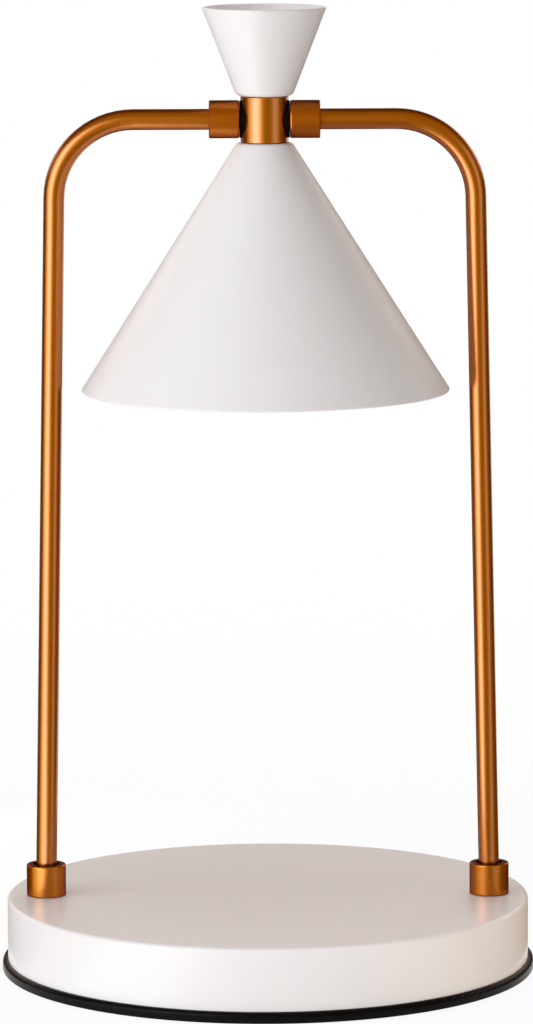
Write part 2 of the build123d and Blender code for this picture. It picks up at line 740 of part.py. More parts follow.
with BuildPart() as holder_cover:
    with BuildSketch(upward(holder_split)):
        Circle(holder_radius)
    extrude(amount=holder_cover_height)
    chamfer(holder_cover.edges().sort_by(Axis.Z)[-1], holder_edge_chamfer)
    with BuildSketch(upward(holder_split)):
        Circle(lead_radius + seat_gap)
    extrude(amount=holder_cover_height, mode=Mode.SUBTRACT)
    with BuildSketch(upward(holder_split)):
        with GridLocations(2 * holder_screw_x, 0, 2, 1):
            Circle(holder_screw_radius + press_gap)
    extrude(amount=holder_cover_height, mode=Mode.SUBTRACT)
holder_cover.part.label = "holder_cover"
export_step(holder_cover.part, "parts/holder_cover.step")

with BuildPart() as holder_body:
    with BuildSketch(upward(holder_face)):
        Circle(holder_radius)
    extrude(amount=holder_body_height)
    chamfer(holder_body.edges().sort_by(Axis.Z)[0], holder_edge_chamfer)
    with BuildSketch(upward(holder_split)):
        Circle(holder_cavity_radius)
    extrude(amount=holder_face_thickness - holder_body_height, mode=Mode.SUBTRACT)
    with BuildSketch(upward(holder_top - holder_screw_bite)):
        with GridLocations(2 * holder_screw_x, 0, 2, 1):
            Circle(holder_screw_radius + press_gap)
    extrude(amount=holder_screw_bite - holder_cover_height, mode=Mode.SUBTRACT)
    with BuildSketch(upward(holder_face)):
        for locked_angle in (0, 180):
            keyway = CenterArc((0, 0), lamp_pin_circle, locked_angle, -lamp_twist, mode=Mode.PRIVATE)
            SlotArc(keyway, 2 * (lamp_shank_radius + keyway_gap))
        with PolarLocations(lamp_pin_circle, 2, start_angle=-lamp_twist):
            Circle(lamp_head_radius + keyway_gap)
    extrude(amount=holder_face_thickness, mode=Mode.SUBTRACT)
holder_body.part.label = "holder_body"
export_step(holder_body.part, "parts/holder_body.step")

with BuildPart() as holder_contacts:
    with BuildSketch(Plane.XZ):
        with BuildLine():
            Polyline(
                (contact_split, holder_split),
                (contact_x + contact_thickness, holder_split),
                (contact_x + contact_thickness, holder_split - contact_length),
                (contact_x, holder_split - contact_length),
                (contact_x, holder_split - contact_thickness),
                (contact_split, holder_split - contact_thickness),
                close=True,
            )
        make_face()
    extrude(amount=contact_width / 2, both=True)
    mirror(about=Plane.YZ)
holder_contacts.part.label = "holder_contacts"
export_step(holder_contacts.part, "parts/holder_contacts.step")

with BuildPart() as head_lead:
    with BuildLine() as drop_path:
        FilletPolyline(
            (head_lead_start, 0, axis_z),
            (0, 0, axis_z),
            (0, 0, holder_split),
            radius=lead_hub_bend,
        )
    with BuildSketch(Plane(origin=drop_path.line @ 0, z_dir=drop_path.line % 0)):
        Circle(lead_radius)
    sweep()
head_lead.part.label = "head_lead"
export_step(head_lead.part, "parts/head_lead.step")

# Lamp

with BuildPart() as lamp_base:
    with BuildSketch(upward(lamp_base_bottom)):
        Circle(lamp_base_radius)
    extrude(amount=lamp_base_height)
    chamfer(lamp_base.edges().sort_by(Axis.Z)[-1], lamp_base_chamfer)
    with BuildSketch(upward(lamp_base_bottom)):
        Circle(capsule_radius + press_gap)
    extrude(amount=lamp_socket_depth, mode=Mode.SUBTRACT)
lamp_base.part.label = "lamp_base"
export_step(lamp_base.part, "parts/lamp_base.step")

with BuildPart() as lamp_pins:
    with BuildSketch(upward(lamp_top)):
        with PolarLocations(lamp_pin_circle, 2):
            Circle(lamp_shank_radius)
    extrude(amount=lamp_shank_top - lamp_top)
    with BuildSketch(upward(lamp_shank_top)):
        with PolarLocations(lamp_pin_circle, 2):
            Circle(lamp_head_radius)
    extrude(amount=lamp_head_height)
lamp_pins.part.label = "lamp_pins"
export_step(lamp_pins.part, "parts/lamp_pins.step")

with BuildPart() as lamp_reflector:
    band_top = lamp_face + reflector_band
    lens_top = lamp_face + lens_inset + lens_thickness
    lens_seat_radius = reflector_radius - reflector_wall
    with BuildSketch(Plane.XZ):
        with BuildLine():
            Line((lens_seat_radius, lamp_face), (reflector_radius, lamp_face))
            Line((reflector_radius, lamp_face), (reflector_radius, band_top))
            SagittaArc(
                (reflector_radius, band_top),
                (reflector_neck_radius, lamp_base_bottom),
                -reflector_bow,
            )
            Line((reflector_neck_radius, lamp_base_bottom), (capsule_radius + press_gap, lamp_base_bottom))
            Line(
                (capsule_radius + press_gap, lamp_base_bottom),
                (capsule_radius + press_gap, lamp_base_bottom - reflector_wall),
            )
            Line(
                (capsule_radius + press_gap, lamp_base_bottom - reflector_wall),
                (reflector_neck_radius - reflector_wall, lamp_base_bottom - reflector_wall),
            )
            SagittaArc(
                (reflector_neck_radius - reflector_wall, lamp_base_bottom - reflector_wall),
                (lens_seat_radius - reflector_wall / 2, lens_top),
                reflector_bow,
            )
            Line((lens_seat_radius - reflector_wall / 2, lens_top), (lens_seat_radius, lens_top))
            Line((lens_seat_radius, lens_top), (lens_seat_radius, lamp_face))
        make_face()
    revolve(axis=Axis.Z)
lamp_reflector.part.label = "lamp_reflector"
export_step(lamp_reflector.part, "parts/lamp_reflector.step")

with BuildPart() as lamp_lens:
    with BuildSketch(upward(lamp_face + lens_inset)):
        Circle(reflector_radius - reflector_wall - press_gap)
    extrude(amount=lens_thickness)
lamp_lens.part.label = "lamp_lens"
export_step(lamp_lens.part, "parts/lamp_lens.step")

with BuildPart() as lamp_capsule:
    capsule_top = lamp_base_bottom + lamp_socket_depth
    with BuildSketch(upward(capsule_top)):
        Circle(capsule_radius)
    extrude(amount=-capsule_length)
    fillet(lamp_capsule.edges().sort_by(Axis.Z)[0], capsule_radius - capsule_nose_flat)
    offset(amount=-capsule_wall, openings=lamp_capsule.faces().sort_by(Axis.Z)[-1])
lamp_capsule.part.label = "lamp_capsule"
export_step(lamp_capsule.part, "parts/lamp_capsule.step")

with BuildPart() as lamp_filament:
    with BuildSketch(upward(capsule_top)):
        with GridLocations(2 * filament_half_length, 0, 2, 1):
            Circle(filament_post_radius)
    extrude(amount=-filament_drop)
    with BuildSketch(Plane(origin=(0, 0, capsule_top - filament_drop), z_dir=(1, 0, 0))):
        Circle(filament_coil_radius)
    extrude(amount=filament_half_length, both=True)
lamp_filament.part.label = "lamp_filament"
export_step(lamp_filament.part, "parts/lamp_filament.step")
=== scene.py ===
import json
import math

import bmesh
import bpy
from mathutils import Matrix, Vector


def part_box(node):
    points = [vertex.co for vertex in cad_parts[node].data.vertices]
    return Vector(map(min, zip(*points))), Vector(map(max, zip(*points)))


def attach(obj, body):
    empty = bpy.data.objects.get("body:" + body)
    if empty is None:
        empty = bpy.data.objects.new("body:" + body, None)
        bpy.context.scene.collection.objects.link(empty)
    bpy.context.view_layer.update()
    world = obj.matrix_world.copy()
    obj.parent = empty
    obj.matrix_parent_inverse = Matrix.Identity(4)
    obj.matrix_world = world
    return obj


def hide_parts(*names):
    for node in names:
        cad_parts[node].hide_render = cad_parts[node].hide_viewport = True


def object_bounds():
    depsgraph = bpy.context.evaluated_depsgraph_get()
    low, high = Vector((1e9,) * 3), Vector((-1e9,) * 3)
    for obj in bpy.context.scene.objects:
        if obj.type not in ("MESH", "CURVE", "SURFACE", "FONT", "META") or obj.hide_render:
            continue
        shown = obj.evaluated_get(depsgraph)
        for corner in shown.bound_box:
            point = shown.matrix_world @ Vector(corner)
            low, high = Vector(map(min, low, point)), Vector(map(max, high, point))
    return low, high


# The looks of a candle warmer: satin white powder coat, satin bronze tube, a black
# foot ring, and the lamp inside the shade. Metres, +X right, -Y front, +Z up.

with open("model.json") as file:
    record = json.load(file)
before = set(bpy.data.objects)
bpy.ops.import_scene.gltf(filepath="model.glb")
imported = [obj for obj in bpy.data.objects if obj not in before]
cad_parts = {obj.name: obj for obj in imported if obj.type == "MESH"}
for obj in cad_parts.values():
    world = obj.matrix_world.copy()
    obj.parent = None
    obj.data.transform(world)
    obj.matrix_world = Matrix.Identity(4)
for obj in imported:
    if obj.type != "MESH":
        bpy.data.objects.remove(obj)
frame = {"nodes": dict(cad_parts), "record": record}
nodes = frame["nodes"]
cad_low, cad_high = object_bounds()

# Camera, at the photograph's viewing angle
camera_distance = 1.975
camera_height = 0.4363
camera_side = 0.0001
camera_pitch = 8.09        # degrees down
camera_roll = -0.24        # degrees, the object leans a little to the left
camera_lens = 208.7

# Light: a key softbox on the left, a weaker one in front and a warm one behind, three
# strips just above the floor, of which the right one is warm, a softbox overhead and a
# soft sky. An azimuth is in degrees from the camera's side, to the right.
world_strength = 0.305
world_colour = (1.0, 0.96, 0.935)
softboxes = {
    "key_softbox": dict(
        azimuth=-58, distance=1.30, low=0.02, high=1.00, width=1.60,
        radiance=2.64, colour=(0.94, 0.95, 0.99),
    ),
    "fill_softbox": dict(
        azimuth=-10, distance=1.30, low=0.30, high=0.90, width=0.80,
        radiance=1.35, colour=(0.98, 0.98, 1.0),
    ),
    "back_softbox": dict(
        azimuth=172, distance=1.20, low=0.55, high=1.35, width=1.40,
        radiance=3.1, colour=(1.0, 0.895, 0.82),
    ),
    "low_front_strip": dict(
        azimuth=20, distance=0.40, low=0.0, high=0.08, width=0.60,
        radiance=2.35, colour=(0.99, 0.985, 1.0),
    ),
    "low_left_strip": dict(
        azimuth=-130, distance=0.26, low=0.0, high=0.08, width=0.30,
        radiance=1.9, colour=(1.0, 0.98, 0.97),
    ),
    "low_right_strip": dict(
        azimuth=76, distance=0.26, low=0.0, high=0.08, width=0.30,
        radiance=1.3, colour=(1.0, 0.65, 0.32),
    ),
}
overhead_height = 1.5
overhead_size = 1.2
overhead_radiance = 0.9
overhead_colour = (1.0, 0.95, 0.92)

# The rooms that only reflections see. The bronze sees a brownish one with a bright
# part on the left, a weaker one on the right, and a high strip and two more parts
# behind. All else sees one just outside it, nearly the same in grey, without those two.
room_radius = 2.4
room_height = 2.6
room_floor = 0.001         # above the floor, which it hides from reflections
room_hole = 0.10           # radius of the hole in which the base stands
room_top_hole = 0.001
room_gap = 0.0005          # between the two rooms
room_segments = 48
room_front_until = -1.2    # y up to which the room has its front colour
room_back_from = 0.72      # y from which it has its back colour
room_part_fade = 0.3       # height in which a bright part fades at its foot and top
room_left = dict(centre=-48, half_width=36, soft=20, low=-0.1, high=1.7, colour=(1.37, 1.62, 1.03))
room_core = dict(centre=-43, half_width=17, soft=14, low=-0.1, high=1.7, colour=(1.69, 2.73, 6.65))
room_right = dict(centre=53, half_width=14, soft=18, low=-0.1, high=1.5, colour=(0.63, 0.86, 1.19))
room_strip = dict(centre=180, half_width=70, soft=30, low=0.65, high=1.4, colour=(1.23, 1.08, 1.00))
room_behind_right = dict(centre=146, half_width=15, soft=16, low=-0.1, high=1.5, colour=(1.95, 2.00, 1.50))
room_behind_left = dict(centre=-140, half_width=10, soft=16, low=-0.1, high=1.5, colour=(0.62, 0.74, 0.64))
bronze_room = dict(
    front=(0.53, 0.416, 0.023), back=(0.18, 0.104, 0.018),
    parts=(room_left, room_core, room_right, room_strip, room_behind_right, room_behind_left),
)
grey_room = dict(
    front=(0.36, 0.335, 0.29), back=(0.10, 0.045, 0.008),
    parts=(
        dict(room_left, colour=(1.21, 1.20, 1.08)),
        dict(room_core, colour=(1.97, 2.05, 2.17)),
        dict(room_right, colour=(0.60, 0.66, 0.52)),
        dict(room_strip, colour=(1.20, 1.00, 0.92)),
    ),
)

# Floor
floor_size = 24.0
floor_gap = 0.0001         # below the mat's underside, so that the two faces don't mix
floor_white = 0.80
floor_shadow = 0.08        # share of the floor's own shading that the camera sees
floor_shadow_reach = 0.9

# Detail pieces
sharp_over = math.radians(32)     # an edge between faces that turn more than this is sharp
shell_edge = 0.0013        # radius of the round on the base shell's upper edge
shell_edge_rows = 10


# Materials

def node(material, kind, inputs=None, **settings):
    """Adds a shader node. An input takes a number, a colour or another node's output."""
    tree = material.node_tree
    made = tree.nodes.new("ShaderNode" + kind)
    for name, value in settings.items():
        setattr(made, name, value)
    for name, value in (inputs or {}).items():
        if isinstance(value, bpy.types.NodeSocket):
            tree.links.new(value, made.inputs[name])
        else:
            made.inputs[name].default_value = value
    return made


def link(material, output, owner, socket):
    material.node_tree.links.new(output, owner.inputs[socket])


def start_material(name, **sockets):
    """A material with one Principled shader, its constants set on its own sockets."""
    material = bpy.data.materials.new(name)
    material.use_nodes = True
    shader = material.node_tree.nodes["Principled BSDF"]
    for socket, value in sockets.items():
        shader.inputs[socket.replace("_", " ")].default_value = value
    return material, shader


def rgb(red, green, blue):
    return (red, green, blue, 1.0)


def mixed_colour(material, factor, first, second):
    """A colour between two. A Mix node's colour sockets go by number: 6, 7 and 2."""
    return node(material, "Mix", {0: factor, 6: first, 7: second}, data_type="RGBA").outputs[2]


def soft_step(material, value, start, end, before=0.0, after=1.0):
    """Goes smoothly from before to after while the value goes from start to end."""
    return node(material, "MapRange", {
        "Value": value, "From Min": start, "From Max": end, "To Min": before, "To Max": after,
    }, interpolation_type="SMOOTHSTEP").outputs["Result"]


def object_place(material, stretch=(1, 1, 1)):
    place = node(material, "TexCoord").outputs["Object"]
    if stretch == (1, 1, 1):
        return place
    return node(material, "Mapping", {"Vector": place, "Scale": stretch}).outputs["Vector"]


def noise(material, scale, detail=2.0, stretch=(1, 1, 1)):
    """Noise in object space, with scale in features per metre."""
    place = object_place(material, stretch)
    made = node(material, "TexNoise", {"Vector": place, "Scale": scale, "Detail": detail})
    return made.outputs["Fac"]


def vary_colour(material, shader, factor, first, second):
    """Base colour between two close colours."""
    link(material, mixed_colour(material, factor, first, second), shader, "Base Color")


def vary_roughness(material, shader, factor, low, high):
    spread = node(material, "MapRange", {"Value": factor, "To Min": low, "To Max": high})
    link(material, spread.outputs["Result"], shader, "Roughness")


def raise_surface(material, shader, *layers):
    """Bump from several (height output, depth in metres) layers, one on the other."""
    normal = None
    for height, depth in layers:
        bump = node(material, "Bump", {"Height": height, "Distance": depth, "Strength": 1.0})
        if normal is not None:
            link(material, normal, bump, "Normal")
        normal = bump.outputs["Normal"]
    link(material, normal, shader, "Normal")


def powder_coat(name, gloss_index, low, high, peel=0.00004):
    """Satin white powder coat: an orange peel of that depth over a finer grain."""
    material, shader = start_material(name, IOR=gloss_index)
    patches = noise(material, 18, 3)
    vary_colour(material, shader, patches, rgb(0.815, 0.80, 0.795), rgb(0.845, 0.83, 0.825))
    vary_roughness(material, shader, noise(material, 240, 2), low, high)
    raise_surface(material, shader, (noise(material, 420, 1), peel), (noise(material, 2600, 2), 0.3 * peel))
    return material


def bronze(name, rings=None, gloss=1.0, first=rgb(0.45, 0.115, 0.006), second=rgb(0.48, 0.13, 0.009)):
    """Satin bronze plate under a clear coat, whose weight is gloss. rings is the axis
    that a turned piece was turned about; without it, the grain runs up the posts."""
    # The nearly black edge tint darkens the bronze's reflection at grazing angles: painted shade along the
    # edges that turn away.
    material, shader = start_material(
        name, Metallic=1.0, Specular_Tint=rgb(0.02, 0.01, 0.005),
        Coat_Weight=gloss, Coat_Roughness=0.20, Coat_IOR=1.5,
    )
    vary_colour(material, shader, noise(material, 60, 2), first, second)
    vary_roughness(material, shader, noise(material, 500, 2), 0.26, 0.30)
    fine = {None: (1, 1, 0.03), "Z": (0.02, 0.02, 1), "X": (1, 0.02, 0.02)}[rings]
    raise_surface(material, shader, (noise(material, 3000, 1, fine), 0.000002))
    return material


def black_plastic():
    material, shader = start_material("black_moulded", IOR=1.18)
    patches = noise(material, 90, 2)
    vary_colour(material, shader, patches, rgb(0.0015, 0.0012, 0.001), rgb(0.003, 0.0025, 0.002))
    vary_roughness(material, shader, noise(material, 700, 2), 0.25, 0.33)
    raise_surface(material, shader, (noise(material, 2400, 3), 0.00001))
    return material


def black_rubber():
    material, shader = start_material("black_rubber", IOR=1.45)
    patches = noise(material, 60, 4)
    vary_colour(material, shader, patches, rgb(0.012, 0.012, 0.012), rgb(0.022, 0.021, 0.020))
    vary_roughness(material, shader, noise(material, 900, 2), 0.62, 0.80)
    raise_surface(material, shader, (noise(material, 1500, 4), 0.00006))
    return material


def black_nylon():
    material, shader = start_material("black_nylon", IOR=1.12)
    patches = noise(material, 200, 2)
    vary_colour(material, shader, patches, rgb(0.002, 0.0015, 0.001), rgb(0.004, 0.003, 0.002))
    vary_roughness(material, shader, noise(material, 1500, 2), 0.50, 0.62)
    raise_surface(material, shader, (noise(material, 3000, 2), 0.00001))
    return material


def plain_metal(name, first, second, low, high, grain=4000, depth=0.000008):
    """A bare or plated metal with cloudy colour, uneven gloss and a fine grain."""
    material, shader = start_material(name, Metallic=1.0)
    vary_colour(material, shader, noise(material, 220, 3), first, second)
    vary_roughness(material, shader, noise(material, 700, 3), low, high)
    raise_surface(material, shader, (noise(material, grain, 2), depth))
    return material


def ceramic():
    material, shader = start_material("steatite", IOR=1.55)
    vary_colour(material, shader, noise(material, 160, 4), rgb(0.74, 0.71, 0.65), rgb(0.82, 0.79, 0.73))
    vary_roughness(material, shader, noise(material, 800, 3), 0.45, 0.62)
    raise_surface(material, shader, (noise(material, 1800, 4), 0.00003))
    return material


def soft_plastic(name, first, second, low, high):
    material, shader = start_material(name, IOR=1.46)
    vary_colour(material, shader, noise(material, 120, 3), first, second)
    vary_roughness(material, shader, noise(material, 900, 2), low, high)
    raise_surface(material, shader, (noise(material, 2200, 2), 0.000012))
    return material


def clear_glass():
    material, shader = start_material(
        "clear_glass", Base_Color=rgb(0.97, 0.985, 0.98), Transmission_Weight=1.0, IOR=1.47
    )
    vary_roughness(material, shader, noise(material, 300, 2), 0.0, 0.03)
    raise_surface(material, shader, (noise(material, 160, 1), 0.00002))
    return material


finishes = {
    "white_paint": powder_coat("white_powder_coat", 1.36, 0.28, 0.36),
    "bronze_tube": bronze("satin_bronze_tube", gloss=0.8),
    "bronze_turned": bronze("satin_bronze_turned", "Z"),
    "black_plate": black_plastic(),
    "black_rubber": black_rubber(),
    "black_nylon": black_nylon(),
    "weight_iron": plain_metal(
        "cast_iron", rgb(0.10, 0.10, 0.10), rgb(0.17, 0.165, 0.16), 0.55, 0.75, 1200, 0.00008
    ),
    "zinc_steel": plain_metal("zinc_plated", rgb(0.62, 0.63, 0.64), rgb(0.72, 0.72, 0.70), 0.28, 0.42),
    "terminal_plastic": soft_plastic(
        "terminal_plastic", rgb(0.70, 0.69, 0.63), rgb(0.76, 0.75, 0.69), 0.30, 0.40
    ),
    "contact_brass": plain_metal("stamped_brass", rgb(0.72, 0.48, 0.17), rgb(0.80, 0.56, 0.22), 0.25, 0.38),
    "ceramic": ceramic(),
    "lead_sleeve": soft_plastic("silicone_sleeve", rgb(0.68, 0.66, 0.60), rgb(0.76, 0.74, 0.68), 0.50, 0.65),
    "nickel_pins": plain_metal("nickel_plated", rgb(0.62, 0.59, 0.54), rgb(0.70, 0.67, 0.62), 0.18, 0.28),
    "reflector_glass": plain_metal(
        "aluminised_glass", rgb(0.80, 0.80, 0.82), rgb(0.86, 0.86, 0.87), 0.06, 0.12, 300, 0.00004
    ),
    "clear_glass": clear_glass(),
    "tungsten": plain_metal("tungsten", rgb(0.22, 0.21, 0.20), rgb(0.30, 0.29, 0.28), 0.35, 0.5),
}
reflector_back = plain_metal(
    "reflector_back", rgb(0.50, 0.51, 0.53), rgb(0.58, 0.59, 0.61), 0.12, 0.22, 300, 0.00004
)
base_finish = powder_coat("white_powder_coat_base", 1.43, 0.21, 0.28, 0.00002)
# The sleeves get a darker copy of the bronze with a thin coat: painted shade, so they come out dimmer and
# show less of the white parts under them.
shaded_sleeve_bronze = bronze("satin_bronze_sleeve_shaded", "X", 0.28, rgb(0.433, 0.108, 0.006), rgb(0.462, 0.121, 0.009))
# The collars get a brighter, yellower copy of the bronze with a thin coat: painted light, so that their
# highlight comes out golden.
lit_collar_bronze = bronze("satin_bronze_collar_lit", "Z", 0.22, rgb(0.462, 0.129, 0.010), rgb(0.49, 0.142, 0.014))

for subpart in frame["record"]["subparts"]:
    name = subpart["node"]
    finish = finishes[subpart["material_slot"]]
    if name.startswith("hub_sleeve"):
        finish = shaded_sleeve_bronze
    if name.startswith("base_collar"):
        finish = lit_collar_bronze
    if name == "base_shell":
        finish = base_finish
    for slot in nodes[name].material_slots:
        slot.material = finish


# Detail pieces. Each takes the place of a plainer CAD node: threads and recesses,
# chamfered nuts, the lamp's facets and coil, the mat's ribs, and even rows of faces
# round the base shell's upper edge.

slot_of = {subpart["node"]: subpart["material_slot"] for subpart in frame["record"]["subparts"]}
body_of = {name: body for body, names in frame["record"]["behaviour"]["bodies"].items() for name in names}


def mesh_object(name, bm, *materials):
    mesh = bpy.data.meshes.new(name)
    bm.to_mesh(mesh)
    bm.free()
    made = bpy.data.objects.new(name, mesh)
    bpy.context.scene.collection.objects.link(made)
    for material in materials:
        made.data.materials.append(material)
    return made


def take_place(piece, cad_node):
    """Puts a detail piece on the CAD node's body, and hides the node."""
    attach(piece, body_of[cad_node])
    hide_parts(cad_node)


def detail(name, cad_node, bm, *more_materials):
    bmesh.ops.recalc_face_normals(bm, faces=bm.faces)
    piece = mesh_object(name, bm, finishes[slot_of[cad_node]], *more_materials)
    piece.data.set_sharp_from_angle(angle=sharp_over)
    take_place(piece, cad_node)


def polygon(half_flats, sides):
    """Radius of a regular polygon by angle, with a corner on +X."""
    step = 2 * math.pi / sides
    return lambda angle: half_flats / math.cos(angle % step - step / 2)


def arms(length, count):
    """Radius of a cross or slot by angle, with its first arm along +X. The end of each
    arm spans 30 degrees."""
    step = 2 * math.pi / count
    half_width = length * math.tan(math.radians(15))

    def radius(angle):
        away = abs((angle + step / 2) % step - step / 2)
        if away <= math.atan2(half_width, length) + 1e-6:
            return length / math.cos(away)
        return half_width / math.sin(away)

    return radius


def scaled(radius, factor):
    return lambda angle: factor * radius(angle)


def turned(bm, centre, sections, hollow=False, angles=48):
    """Skins (radius, z) sections round an upright axis, and returns the rows of faces.
    A radius or z may be a function of the angle. Hollow joins the last section to the
    first; otherwise both are closed."""
    rings = []
    for radius, z in sections:
        ring = []
        for i in range(angles):
            angle = 2 * math.pi * i / angles
            r = radius(angle) if callable(radius) else radius
            height = z(angle) if callable(z) else z
            place = (centre[0] + r * math.cos(angle), centre[1] + r * math.sin(angle), height)
            ring.append(bm.verts.new(place))
        rings.append(ring)
    pairs = list(zip(rings, rings[1:]))
    if hollow:
        pairs.append((rings[-1], rings[0]))
    rows = [
        [bm.faces.new((a[i], a[(i + 1) % angles], b[(i + 1) % angles], b[i])) for i in range(angles)]
        for a, b in pairs
    ]
    if not hollow:
        rows.append([bm.faces.new(reversed(rings[0])), bm.faces.new(rings[-1])])
    for row in rows:
        for face in row:
            face.smooth = True
    return rows


def thread(radius, pitch, start, end):
    """Sections of a right-hand thread from start to end, tapered at both."""
    depth = 0.6 * pitch
    sections_per_turn = 5
    count = max(2, round(abs(end - start) / pitch * sections_per_turn))
    sections = []
    for k in range(count + 1):
        z = start + (end - start) * k / count
        reach = radius - depth + min(abs(z - start), abs(end - z))

        def section(angle, z=z, reach=reach):
            wave = abs(2 * ((z / pitch - angle / (2 * math.pi)) % 1.0) - 1)
            height = min(1, max(0, 1.5 * wave - 0.25))     # flat at root and crest
            return min(radius - depth * (1 - height), reach)

        sections.append((section, z))
    return sections


def arc(start, end, bulge, count):
    """Points from start to end, in (radius, z), on an arc that bulges outward."""
    chord = math.dist(start, end)
    bend = (chord**2 / 4 + bulge**2) / (2 * bulge)
    along = ((end[0] - start[0]) / chord, (end[1] - start[1]) / chord)
    side = 1 if along[1] > 0 else -1
    out = (side * along[1], -side * along[0])
    half = math.asin(chord / 2 / bend)
    points = []
    for k in range(count + 1):
        angle = half * (2 * k / count - 1)
        s, t = bend * math.sin(angle), bend * math.cos(angle) - bend + bulge
        points.append(tuple((start[i] + end[i]) / 2 + s * along[i] + t * out[i] for i in (0, 1)))
    return points


def ring_of(count, radius, first=0.0):
    """Points on a circle, the first at an angle in degrees."""
    turns = [math.radians(first + 360 * i / count) for i in range(count)]
    return [(radius * math.cos(turn), radius * math.sin(turn)) for turn in turns]


def screw(bm, centre, seat, head_top, tip, head_radius, radius, pitch, threaded):
    """A cross-recess screw; its head is on either side of its seat."""
    way = math.copysign(1, head_top - seat)
    edge = 0.22 * head_radius
    recess = arms(0.62 * head_radius, 4)
    recess_floor = head_top - way * 0.65 * abs(head_top - seat)
    thread_start = tip + way * threaded
    rounding = [
        (head_radius - edge + edge * math.sin(turn), head_top - way * edge * (1 - math.cos(turn)))
        for turn in (0, math.pi / 6, math.pi / 3, math.pi / 2)
    ]
    turned(bm, centre, [
        (scaled(recess, 0.45), recess_floor),
        (recess, head_top),
        *rounding,
        (head_radius, seat),
        (radius, seat),
        (radius, thread_start),
        *thread(radius, pitch, thread_start, tip),
    ])


def nut(bm, centre, flats, bore, low, high):
    """A hexagon nut with both faces and the bore chamfered."""
    outline, face = polygon(flats / 2, 6), 0.98 * flats / 2
    chamfer, lift = 0.0002, math.tan(math.radians(30))
    turned(bm, centre, [
        (bore, low + chamfer),
        (bore + chamfer, low),
        (face, low),
        (outline, lambda angle: low + (outline(angle) - face) * lift),
        (outline, lambda angle: high - (outline(angle) - face) * lift),
        (face, high),
        (bore + chamfer, high),
        (bore, high - chamfer),
    ], hollow=True)


def build_base_screws():
    low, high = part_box("base_screws")
    bm = bmesh.new()
    for centre in ring_of(count=4, radius=0.052, first=45):
        screw(
            bm, centre, seat=low[2] + 0.0024, head_top=low[2], tip=high[2],
            head_radius=0.0039, radius=0.002, pitch=0.0007, threaded=0.011,
        )
    detail("base_screws_cross_recess", "base_screws", bm)


def build_holder_screws():
    low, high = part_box("holder_screws")
    head_radius = 0.0023
    bm = bmesh.new()
    for side in (-1, 1):
        screw(
            bm, (side * (high[0] - head_radius), 0), seat=high[2] - 0.0017, head_top=high[2], tip=low[2],
            head_radius=head_radius, radius=0.00125, pitch=0.00045, threaded=0.009,
        )
    detail("holder_screws_cross_recess", "holder_screws", bm)


def build_terminal_screws():
    low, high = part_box("terminal_screws")
    radius, head, bevel, pitch = 0.0015, 0.0008, 0.00015, 0.0005
    slot, slot_depth = arms(0.0012, 2), 0.0007
    top, thread_start = high[2], high[2] - head
    bm = bmesh.new()
    for x in (low[0] + radius, high[0] - radius):
        for y in (low[1] + radius, high[1] - radius):
            turned(bm, (x, y), [
                (slot, top - slot_depth), (slot, top), (radius - bevel, top), (radius, top - bevel),
                (radius, thread_start), *thread(radius, pitch, thread_start, low[2]),
            ])
    detail("terminal_screws_slotted", "terminal_screws", bm)


def build_nuts():
    low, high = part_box("post_nuts")
    flats = 0.011
    bm = bmesh.new()
    for side in (-1, 1):
        centre = (side * (high[0] - flats / math.sqrt(3)), 0)
        nut(bm, centre, flats, bore=0.00365, low=low[2], high=high[2])
    detail("post_nuts_chamfered", "post_nuts", bm)

    for name in ("shade_nut", "bracket_nut"):
        low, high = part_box(name)
        bm = bmesh.new()
        nut(bm, (0, 0), flats=0.012, bore=0.00405, low=low[2], high=high[2])
        detail(name + "_chamfered", name, bm)


def build_nipple():
    low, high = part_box("shade_nipple")
    bore = 0.0028
    sections = [(bore, low[2]), *thread(0.004, 0.001, low[2], high[2]), (bore, high[2])]
    bm = bmesh.new()
    turned(bm, (0, 0), sections, hollow=True)
    detail("shade_nipple_threaded", "shade_nipple", bm)


def border_of(points):
    """Points round the axis as (angle, point), in order of angle and without repeats."""
    turns = sorted(((math.atan2(point.y, point.x), point) for point in points), key=lambda turn: turn[0])
    before = [turns[-1][0] - 2 * math.pi] + [turn for turn, point in turns]
    return [turn for turn, last in zip(turns, before) if turn[0] - last > 1e-4]


def zip_rings(bm, upper, lower):
    """Triangles, facing outward, between two rings of (angle, vertex)."""
    made = []
    above, below = ([*ring, (ring[0][0] + 2 * math.pi, ring[0][1])] for ring in (upper, lower))
    i = j = 0
    while i < len(upper) or j < len(lower):
        if j == len(lower) or (i < len(upper) and above[i + 1][0] < below[j + 1][0]):
            made.append(bm.faces.new((above[i][1], below[j][1], above[i + 1][1])))
            i += 1
        else:
            made.append(bm.faces.new((above[i][1], below[j][1], below[j + 1][1])))
            j += 1
    return made


